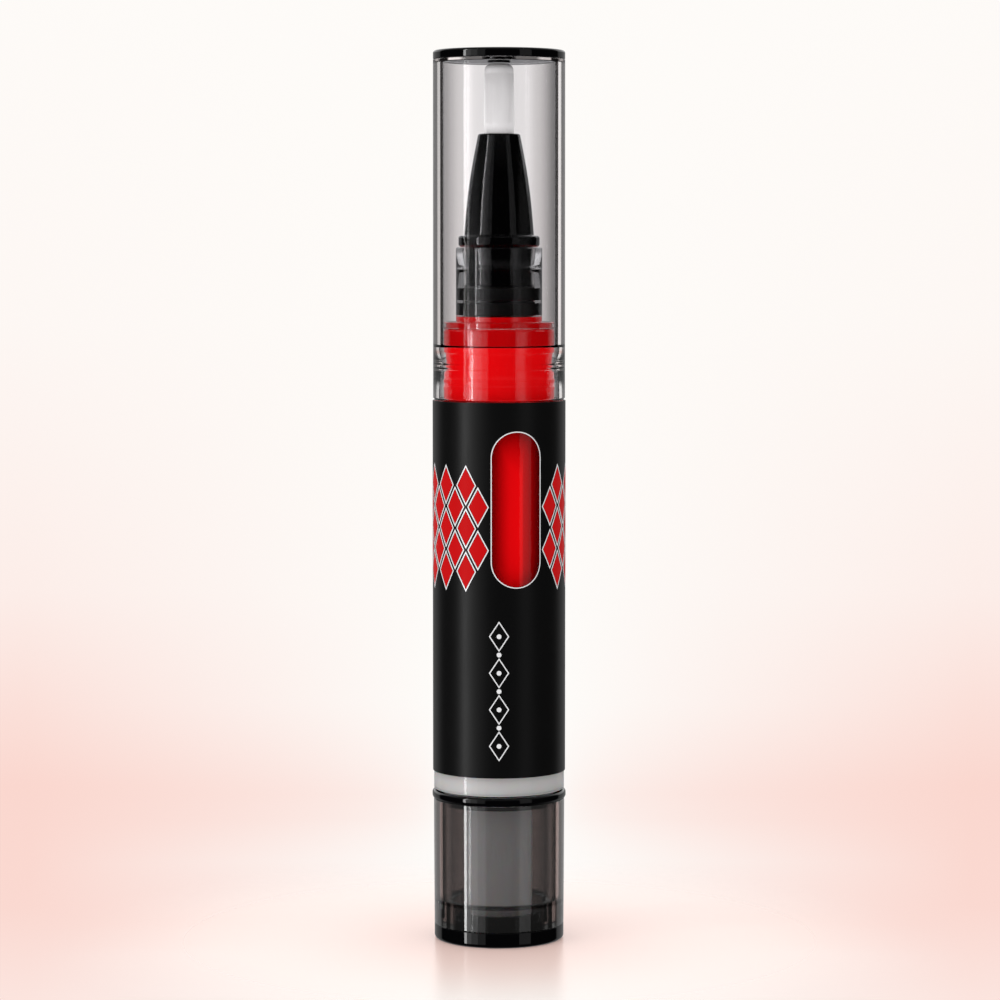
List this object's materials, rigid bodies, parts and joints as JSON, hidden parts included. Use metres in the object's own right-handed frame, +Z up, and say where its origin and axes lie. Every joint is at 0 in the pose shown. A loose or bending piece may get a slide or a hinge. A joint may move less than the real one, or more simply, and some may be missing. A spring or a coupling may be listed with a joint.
{
  "type": "twist-up cuticle oil pen",
  "caption": "Slim oil pen on a turning knob: clear barrel in a black label sleeve with an oil window, screw-driven piston, brush nozzle and smoked pull-off cap.",
  "frame": {"origin": "centre of the base plug's flat underside, at the bottom of the pen", "axes": "+Z up along the pen's axis towards the cap; the label's window faces between -Y and +X, nearer to -Y"},
  "size_m": [0.0174, 0.0174, 0.1151],
  "materials": {
    "smoked_plastic": "smoked clear, polished",
    "clear_plastic": "clear, polished",
    "black_gloss": "polished black",
    "black_label": "satin black film",
    "red_oil": "clear red liquid",
    "natural_plastic": "milky, uncoloured",
    "white_plastic": "off-white",
    "black_rubber": "dull black",
    "steel": "fine brushed",
    "bristle": "pale filaments"
  },
  "bodies": {
    "barrel": {"barrel": "clear_plastic", "label_sleeve": "black_label", "mechanism_sleeve": "natural_plastic", "guide_nut": "white_plastic", "oil_charge": "red_oil", "oil_in_neck": "red_oil", "nozzle_cone": "black_gloss", "nozzle_seal_1": "black_rubber", "nozzle_seal_2": "black_rubber", "feed_tube": "white_plastic", "brush_ferrule": "steel", "brush_bristles": "bristle"},
    "knob": {"knob_base_plug": "black_gloss", "knob_shell": "smoked_plastic", "knob_rim_ring": "black_gloss", "driver_tube": "natural_plastic", "click_spring": "white_plastic"},
    "rod": {"screw_rod": "white_plastic"},
    "piston": {"piston": "natural_plastic"},
    "cap": {"cap_shell": "smoked_plastic", "cap_top_disc": "black_gloss"}
  },
  "joints": [
    {"name": "cap_pull", "type": "slide", "parent": "barrel", "child": "cap", "axis": [0, 0, 1], "range_m": [0, 0.05]},
    {"name": "knob_turn", "type": "hinge", "parent": "barrel", "child": "knob", "pos_m": [0, 0, 0], "axis": [0, 0, 1], "range_deg": [0, 5040], "deforming": ["click_spring"]},
    {"name": "rod_feed", "type": "slide", "parent": "knob", "child": "rod", "axis": [0, 0, 1], "range_m": [0, 0.028]},
    {"name": "piston_feed", "type": "slide", "parent": "barrel", "child": "piston", "axis": [0, 0, 1], "range_m": [0, 0.028], "deforming": ["oil_charge"]}
  ],
  "couplings": [
    {"joint": "rod_feed", "follows": "knob_turn", "m_per_rad": 0.00031831},
    {"joint": "piston_feed", "follows": "knob_turn", "m_per_rad": 0.00031831}
  ]
}
